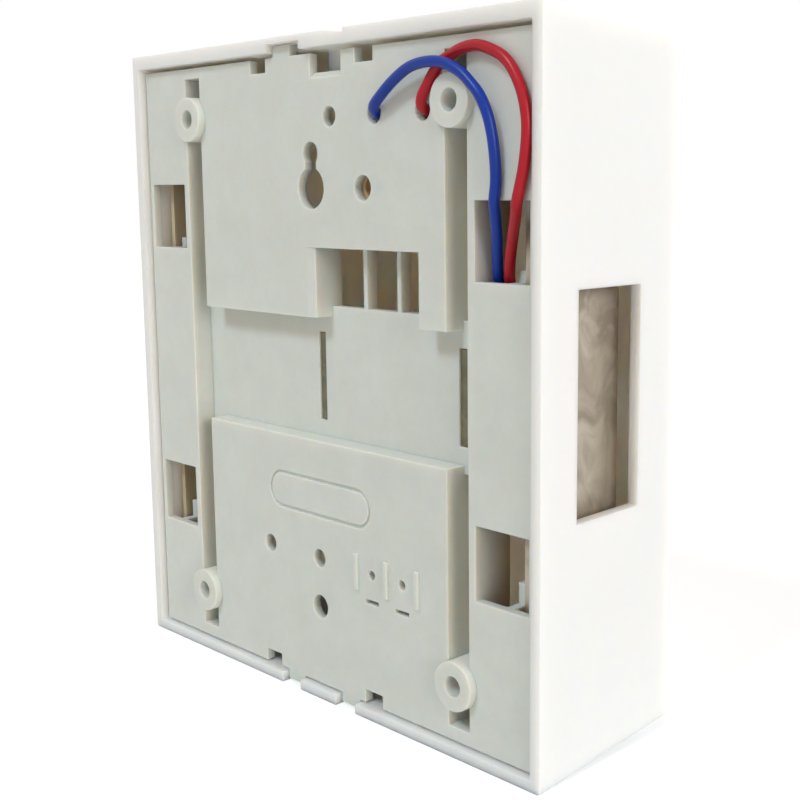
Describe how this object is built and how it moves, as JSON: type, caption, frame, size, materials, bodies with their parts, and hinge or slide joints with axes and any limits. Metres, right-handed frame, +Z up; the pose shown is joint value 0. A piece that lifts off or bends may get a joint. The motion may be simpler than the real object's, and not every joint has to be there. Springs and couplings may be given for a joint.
{
  "type": "doorbell chime box",
  "caption": "Wall-mounted two-note door chime: a sprung solenoid plunger between hanging steel tone plates on a moulded base plate, under a tapered clip-on cover.",
  "frame": {"origin": "The middle of the four wall screws, on the wall plane that the backs of their bosses touch.", "axes": "+Z is up, the front faces -Y, +Y points into the wall, and +X is to the right seen from the front."},
  "size_m": [0.139, 0.0479, 0.1492],
  "materials": {
    "base_abs": "fine moulded satin, off-white",
    "cover_abs": "satin white",
    "tone_steel": "dull plated steel, mottled",
    "grommet_rubber": "matt black",
    "yoke_zinc": "zinc plated",
    "core_steel": "turned, bare",
    "spring_steel": "bright drawn wire",
    "nylon": "natural nylon",
    "copper_wire": "enamelled copper winding",
    "brass": "bare brass",
    "screw_zinc": "zinc plated",
    "blue_pvc": "blue insulation",
    "red_pvc": "red insulation"
  },
  "bodies": {
    "base": {"base_plate": "base_abs", "low_tone_plate": "tone_steel", "high_tone_plate": "tone_steel", "low_grommets": "grommet_rubber", "high_grommets": "grommet_rubber", "solenoid_yoke": "yoke_zinc", "coil_bobbin": "nylon", "coil_winding": "copper_wire", "coil_pins": "brass", "return_spring": "spring_steel", "terminal_strip": "nylon", "terminal_sleeves": "brass", "terminal_screws": "screw_zinc", "strip_screws": "screw_zinc", "push_terminal": "nylon", "push_contacts": "brass", "blue_lead": "blue_pvc", "red_lead": "red_pvc"},
    "plunger": {"plunger_core": "core_steel", "long_striker": "nylon", "short_striker": "nylon"},
    "cover": {"front_cover": "cover_abs"}
  },
  "joints": [
    {"name": "plunger_slide", "type": "slide", "parent": "base", "child": "plunger", "axis": [1, 0, 0], "range_m": [-0.003, 0.007], "stiffness_N_per_m": 60, "deforming": ["return_spring"]},
    {"name": "cover_slide", "type": "slide", "parent": "base", "child": "cover", "axis": [0, -1, 0], "range_m": [0, 0.06]}
  ]
}
